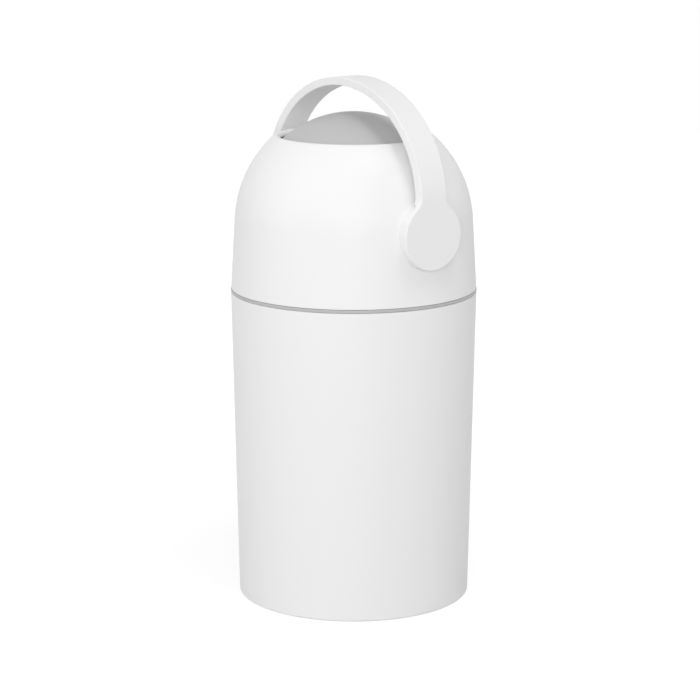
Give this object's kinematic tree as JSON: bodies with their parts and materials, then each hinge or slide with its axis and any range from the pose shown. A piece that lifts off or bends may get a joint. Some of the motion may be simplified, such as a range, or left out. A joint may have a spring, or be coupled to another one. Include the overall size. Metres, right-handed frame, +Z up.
{
  "type": "nappy bin",
  "caption": "Tall round nappy bin: tapered bucket, hinged dome lid and a ball that turns with the arched carry handle to drop a nappy inside.",
  "frame": {"origin": "middle of the bucket's flat standing face, on the floor", "axes": "+Z up along the bin's own axis, X along the handle's axle, -Y to the front, +Y to the lid's hinge"},
  "size_m": [0.2664, 0.2687, 0.5455],
  "materials": {
    "white_shell": "fine satin moulded plastic, white",
    "white_handle": "satin moulded plastic, white",
    "grey_ball": "satin moulded plastic, light grey",
    "grey_ring": "satin moulded plastic, grey",
    "inner_plastic": "plain moulded plastic, pale grey",
    "bearing_plastic": "slippery bearing plastic, natural",
    "seal_rubber": "soft dark grey rubber",
    "steel": "bright steel"
  },
  "bodies": {
    "bucket": {"bucket_shell": "white_shell", "bag_ring": "grey_ring", "hinge_pin": "steel"},
    "lid": {"lid_dome": "white_shell", "mouth_seal": "seal_rubber", "lid_collar": "inner_plastic", "lid_seal": "seal_rubber", "ball_wiper": "seal_rubber", "collar_screw_1": "steel", "collar_screw_2": "steel", "collar_screw_3": "steel", "collar_screw_4": "steel", "hub_bush_right": "bearing_plastic", "hub_bush_left": "bearing_plastic"},
    "drum": {"ball_upper_shell": "grey_ball", "ball_lower_shell": "grey_ball", "barrel_tube": "inner_plastic", "trunnion_right": "bearing_plastic", "trunnion_left": "bearing_plastic", "handle": "white_handle", "handle_screw_right": "steel", "handle_screw_left": "steel", "ball_screw_1": "steel", "ball_screw_2": "steel", "ball_screw_3": "steel", "ball_screw_4": "steel"},
    "piston": {"piston_cup": "inner_plastic", "piston_cover": "inner_plastic", "piston_weight": "steel", "piston_seal_front": "seal_rubber", "piston_seal_back": "seal_rubber"}
  },
  "joints": [
    {"name": "lid_hinge", "type": "hinge", "parent": "bucket", "child": "lid", "pos_m": [0, 0.1355, 0.325], "axis": [-1, 0, 0], "range_deg": [0, 95]},
    {"name": "handle_turn", "type": "hinge", "parent": "lid", "child": "drum", "pos_m": [0, 0, 0.3975], "axis": [1, 0, 0], "range_deg": [-90, 90]},
    {"name": "piston_slide", "type": "slide", "parent": "drum", "child": "piston", "axis": [0, 1, 0], "range_m": [-0.074, 0.074]}
  ]
}
